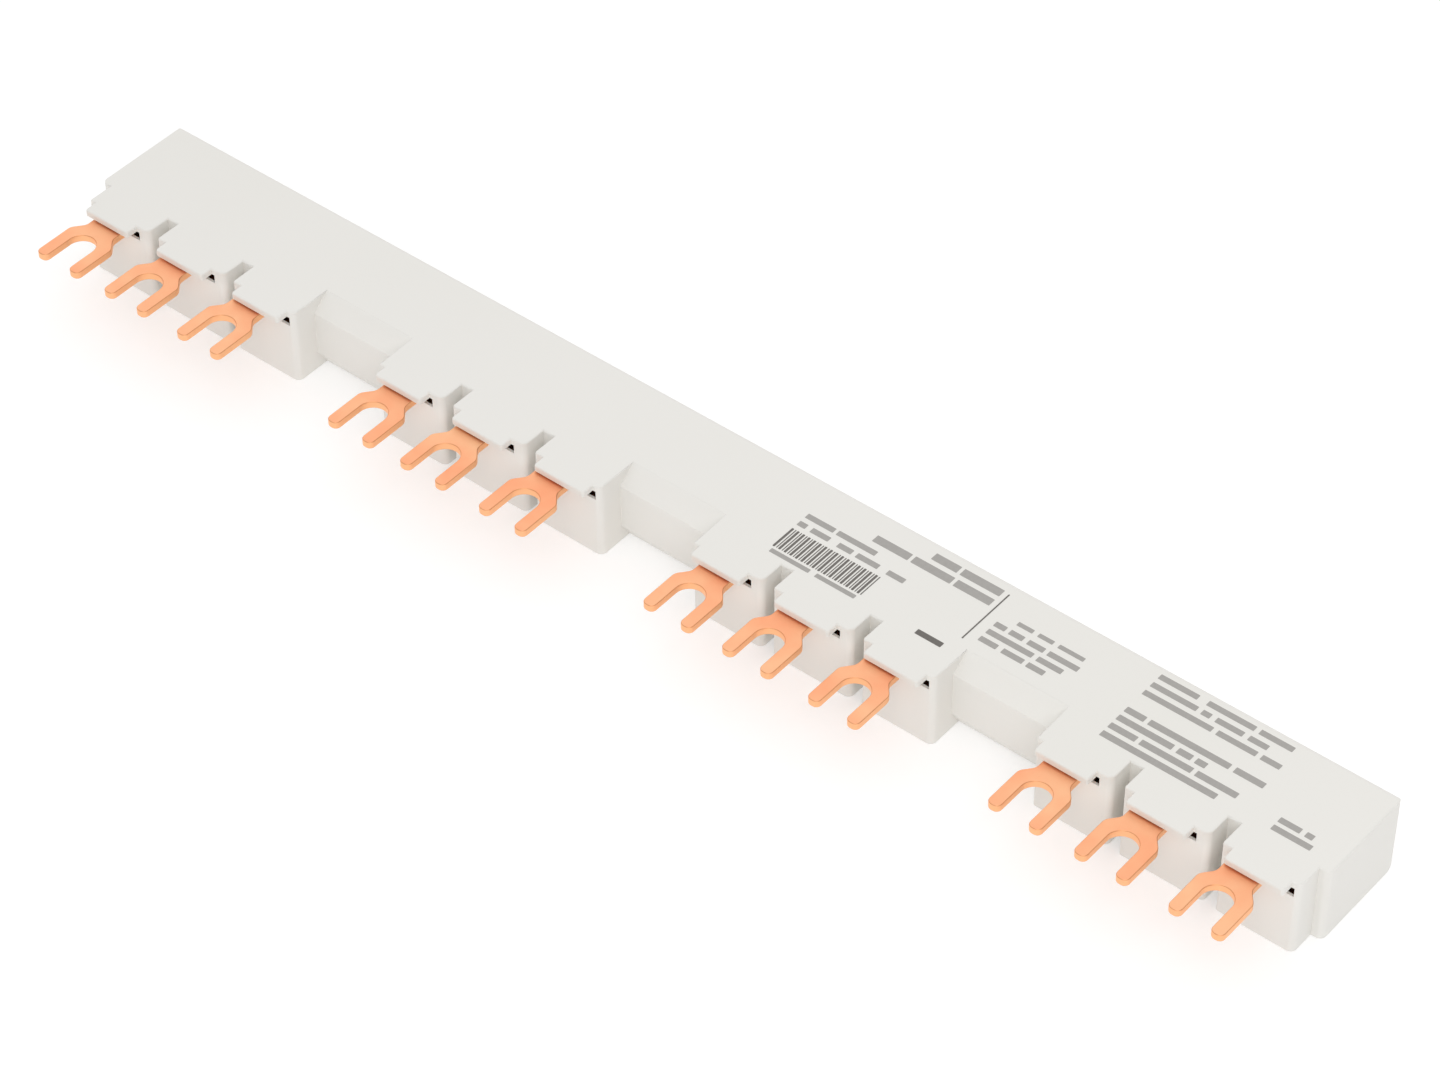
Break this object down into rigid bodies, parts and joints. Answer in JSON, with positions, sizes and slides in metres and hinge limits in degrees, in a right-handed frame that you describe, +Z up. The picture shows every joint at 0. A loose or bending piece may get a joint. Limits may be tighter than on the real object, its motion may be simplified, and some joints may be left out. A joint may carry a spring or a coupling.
{
  "type": "comb busbar",
  "caption": "Comb busbar: a long pale grey housing with groups of front blocks, and flat copper fork tongues that stand out of a slit in each block.",
  "frame": {"origin": "middle of the flat underside of the long housing body", "axes": "+X along the row, +Y to the back, away from the tongues, +Z up to the printed face"},
  "size_m": [0.2036, 0.0309, 0.0122],
  "materials": {
    "housing_plastic": "moulded, fine matt texture",
    "cover_plastic": "moulded, matt",
    "strip_plastic": "moulded, matt",
    "bar_copper": "bare drawn copper",
    "tongue_copper": "bare stamped copper, satin"
  },
  "bodies": {
    "root": {"housing": "housing_plastic", "rear_cover": "cover_plastic", "bar_1": "bar_copper", "bar_2": "bar_copper", "bar_3": "bar_copper", "front_insulator": "strip_plastic", "rear_insulator": "strip_plastic", "tongue_01": "tongue_copper", "tongue_02": "tongue_copper", "tongue_03": "tongue_copper", "tongue_04": "tongue_copper", "tongue_05": "tongue_copper", "tongue_06": "tongue_copper", "tongue_07": "tongue_copper", "tongue_08": "tongue_copper", "tongue_09": "tongue_copper", "tongue_10": "tongue_copper", "tongue_11": "tongue_copper", "tongue_12": "tongue_copper"}
  },
  "joints": []
}
